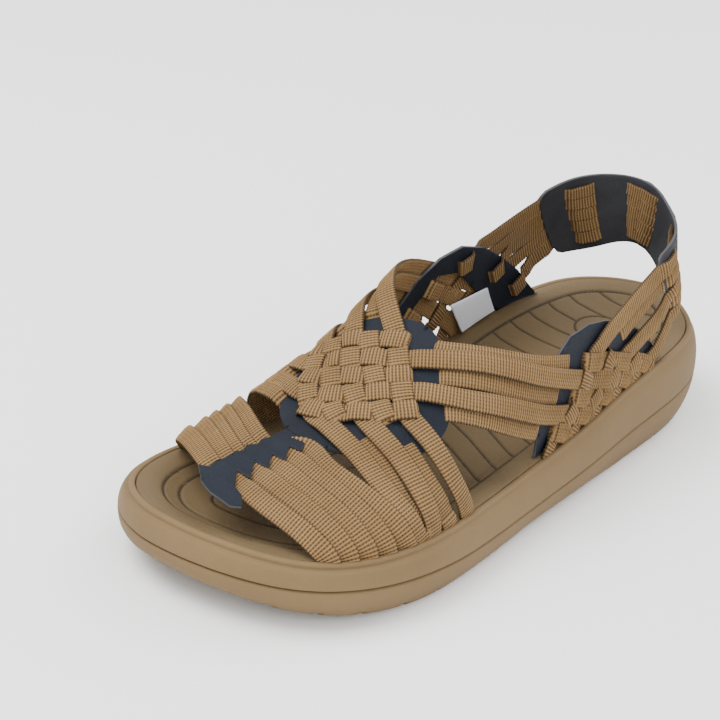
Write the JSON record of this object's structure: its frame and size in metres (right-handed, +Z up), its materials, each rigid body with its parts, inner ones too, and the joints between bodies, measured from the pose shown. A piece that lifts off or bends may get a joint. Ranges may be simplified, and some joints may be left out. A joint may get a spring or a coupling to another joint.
{
  "type": "huarache sandal",
  "caption": "Left huarache sandal with a woven tan webbing upper, dark leather backing, a heel band and a moulded sole with a contoured footbed.",
  "frame": {"origin": "on the floor under the middle of the whole sandal", "axes": "+Z up; the toe points to -Y; the outer side of the foot is at +X"},
  "size_m": [0.1114, 0.2906, 0.0917],
  "materials": {
    "sole": "matte",
    "footbed": "matte, grained",
    "webbing": "ribbed weave",
    "leather": "satin, raw cut edges",
    "label": "satin weave, blank"
  },
  "bodies": {
    "root": {"outsole": "sole", "midsole": "sole", "footbed": "footbed", "upper": "webbing", "toe_strip": "leather", "vamp_backing": "leather", "quarter_backing_outer": "leather", "quarter_backing_inner": "leather", "heel_band": "leather", "size_label": "label"}
  },
  "joints": []
}
